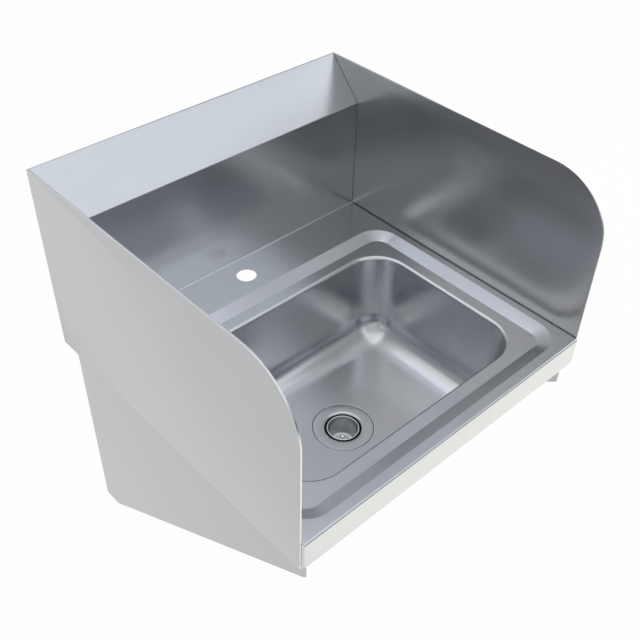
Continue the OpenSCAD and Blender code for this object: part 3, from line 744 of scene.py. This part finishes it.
# the knob: a ball on a neck, and a threaded end that goes through the cup's floor
ballZ = cupFloor + knob["height"] - knob["radius"]
postEnd = cupUnder - knob["threadLength"]
lean = np.linspace(0, math.pi - math.asin(knob["neck"] / knob["radius"]), knob["ballSteps"] + 1)
knobPath = np.vstack([
    np.column_stack([knob["radius"] * np.sin(lean), ballZ + knob["radius"] * np.cos(lean)]),
    rounded([[knob["neck"], ballZ - knob["neckTop"]], [knob["neck"], cupFloor],
             [knob["thread"], cupFloor], [knob["thread"], postEnd], [0, postEnd]],
            [knob["softness"], knob["softness"], knob["tipSoftness"]], knob["arcSteps"])])
makePiece("liftKnob", turned(knobPath, knob["segments"]), drainAt, finish["knob"],
          "lift_knob", "strainer")
knobNutLow = cupUnder - knob["nutHeight"]
hexNut("knobNut", knob["nutFlats"], [[knob["nutBore"], knobNutLow], [knob["nutBore"], cupUnder]],
       knobNutLow, cupUnder, knob["nutChamfer"], "knob", "knob_nut", "strainer")
print("strainer made")


# Studio: a pale floor and world, soft boxes that light the sink, and cards that the metal
# reflects; sizes here are in metres

studio = {
    "aim": (0, -0.25, -0.1), "world": 0.8,
    "floorZ": -1.1, "floorSize": 16.0, "floorWhite": 0.95, "floorColour": 0.85, "floorRoughness": 0.8,
    # where each stands, seen from the sink: degrees from +X towards the wall, degrees up
    # and distance; then width, height, brightness and colour
    "softboxes": {
        "rightSoftbox": (5, 19, 2.6, 2.9, 2.4, 0.93, (0.92, 0.95, 1)),
        "leftSoftbox": (165, 10, 2.6, 4.6, 1.4, 0.96, (1, 1, 1)),
        "overhead": (90, 76, 2.6, 2.4, 1.9, 0.16, (0.88, 0.93, 1)),
        "lowFill": (313, -42, 1.0, 2.2, 0.66, 0.25, (1, 0.985, 0.66)),
    },
    "cards": {
        "backRightCard": (60, 20, 3.0, 3.2, 2.8, 0.58, (0.91, 0.935, 1)),
        "backRightHigh": (45, 53, 3.1, 2.0, 1.6, 0.545, (0.9, 0.93, 1)),
        "skyCard": (305, 48, 3.3, 4.4, 3.0, 1.08, (0.92, 0.965, 1)),
        "frontCard": (290, 13, 3.5, 2.6, 1.2, 0.5, (0.97, 0.98, 1)),
        "darkStrip": (303, -10, 3.4, 4.4, 1.4, 0.03, (1, 1, 1)),
        "cameraSideCard": (225, 42, 3.0, 5.6, 1.9, 0.64, (0.97, 1, 1)),
        "highCard": (40, 60, 3.8, 6.0, 2.4, 1.27, (0.81, 0.86, 1)),
        "rightHighCard": (-5, 54, 3.4, 3.0, 1.4, 0.68, (0.91, 0.94, 1)),
        "returnEndCard": (325, 30, 3.15, 1.2, 1.4, 0.87, (0.92, 0.965, 1)),
    },
}
squareCorners = ((-1, -1), (1, -1), (1, 1), (-1, 1))
scene = bpy.context.scene
scene.view_settings.view_transform = "Standard"


def seenShare(nodes, links):
    # 1 for camera, glossy and transmission rays, which see the plain background
    path = nodes.new("ShaderNodeLightPath")
    share = path.outputs["Is Camera Ray"]
    for ray in ("Is Glossy Ray", "Is Transmission Ray"):
        either = nodes.new("ShaderNodeMath")
        either.operation = "MAXIMUM"
        links.new(share, either.inputs[0])
        links.new(path.outputs[ray], either.inputs[1])
        share = either.outputs["Value"]
    return share


def placed(obj, right, upward, back, place):
    # stands an object in metres by its three ways
    rows = [[right[i], upward[i], back[i], place[i]] for i in range(3)]
    obj.matrix_world = Matrix(rows + [[0, 0, 0, 1]])


def facing(azimuth, elevation, distance):
    # a place on a ball round the sink, and the three ways of a frame that faces it
    azimuth, elevation = math.radians(azimuth), math.radians(elevation)
    back = np.array([math.cos(azimuth) * math.cos(elevation), math.sin(azimuth) * math.cos(elevation),
                     math.sin(elevation)])
    right = np.array([-math.sin(azimuth), math.cos(azimuth), 0])
    return right, np.cross(back, right), back, np.array(studio["aim"]) + distance * back


def stageSheet(name, corners, material):
    mesh = bpy.data.meshes.new(name)
    mesh.from_pydata(corners, [], [[0, 1, 2, 3]])
    mesh.materials.append(material)
    sheet = bpy.data.objects.new(name, mesh)
    scene.collection.objects.link(sheet)
    return sheet


def makeWorld():
    # pale grey light from all round, and plain white where it is seen or mirrored
    world = bpy.data.worlds.new("studio")
    scene.world = world
    world.use_nodes = True
    nodes, links = world.node_tree.nodes, world.node_tree.links
    strength = nodes.new("ShaderNodeMapRange")
    strength.inputs["To Min"].default_value = studio["world"]
    strength.inputs["To Max"].default_value = 1.0
    links.new(seenShare(nodes, links), strength.inputs["Value"])
    links.new(strength.outputs["Result"], nodes["Background"].inputs["Strength"])
    nodes["Background"].inputs["Color"].default_value = (1, 1, 1, 1)


def makeFloor():
    # a pale matt floor, mixed with plain white where it is seen, so that a shadow stays
    material, nodes, links = nodeMaterial("paleFloor")
    shader = nodes["Principled BSDF"]
    shader.inputs["Base Color"].default_value = [studio["floorColour"]] * 3 + [1]
    shader.inputs["Roughness"].default_value = studio["floorRoughness"]
    glow = nodes.new("ShaderNodeEmission")
    glow.inputs["Strength"].default_value = 1.0
    mix = nodes.new("ShaderNodeMixShader")
    white = nodes.new("ShaderNodeMath")
    white.operation = "MULTIPLY"
    white.inputs[1].default_value = studio["floorWhite"]
    links.new(seenShare(nodes, links), white.inputs[0])
    links.new(white.outputs["Value"], mix.inputs["Fac"])
    links.new(shader.outputs["BSDF"], mix.inputs[1])
    links.new(glow.outputs["Emission"], mix.inputs[2])
    links.new(mix.outputs["Shader"], nodes["Material Output"].inputs["Surface"])
    half = studio["floorSize"] / 2
    stageSheet("floor", [(x * half, y * half, studio["floorZ"]) for x, y in squareCorners], material)


def makeSoftbox(name, azimuth, elevation, distance, width, height, bright, colour):
    light = bpy.data.lights.new(name, "AREA")
    light.shape = "RECTANGLE"
    light.size, light.size_y = width, height
    light.energy = bright * math.pi * width * height
    light.color = colour
    lamp = bpy.data.objects.new(name, light)
    scene.collection.objects.link(lamp)
    placed(lamp, *facing(azimuth, elevation, distance))
    lamp.visible_camera = False


def makeCard(name, azimuth, elevation, distance, width, height, bright, colour):
    # a card that the metal sees and the camera doesn't
    right, upward, back, place = facing(azimuth, elevation, distance)
    material, nodes, links = nodeMaterial(name)
    glow = nodes.new("ShaderNodeEmission")
    glow.inputs["Color"].default_value = [*colour, 1]
    glow.inputs["Strength"].default_value = bright
    links.new(glow.outputs["Emission"], nodes["Material Output"].inputs["Surface"])
    corners = [(place + right * x * width / 2 + upward * y * height / 2).tolist()
               for x, y in squareCorners]
    card = stageSheet(name, corners, material)
    card.visible_camera = False
    card.visible_shadow = False


makeWorld()
makeFloor()
for name, values in studio["softboxes"].items():
    makeSoftbox(name, *values)
for name, values in studio["cards"].items():
    makeCard(name, *values)


# Camera: at the photograph's angle, its roll in degrees

view = {
    "lens": 50.49, "sensor": 36.0,
    "place": (-543.22, -790.31, 551.40), "lookAt": (-24.015, -243.378, -105.328), "roll": 1.4754,
}
camera = bpy.data.cameras.new("camera")
camera.lens = view["lens"]
camera.sensor_width = view["sensor"]
cameraObject = bpy.data.objects.new("camera", camera)
scene.collection.objects.link(cameraObject)
look = unit(np.array(view["lookAt"]) - view["place"])
level = unit(np.cross(look, [0, 0, 1]))
lift = np.cross(level, look)
roll = math.radians(view["roll"])
placed(cameraObject, math.cos(roll) * level + math.sin(roll) * lift,
       math.cos(roll) * lift - math.sin(roll) * level, -look, np.array(view["place"]) * mm)
scene.camera = cameraObject
print("studio made")
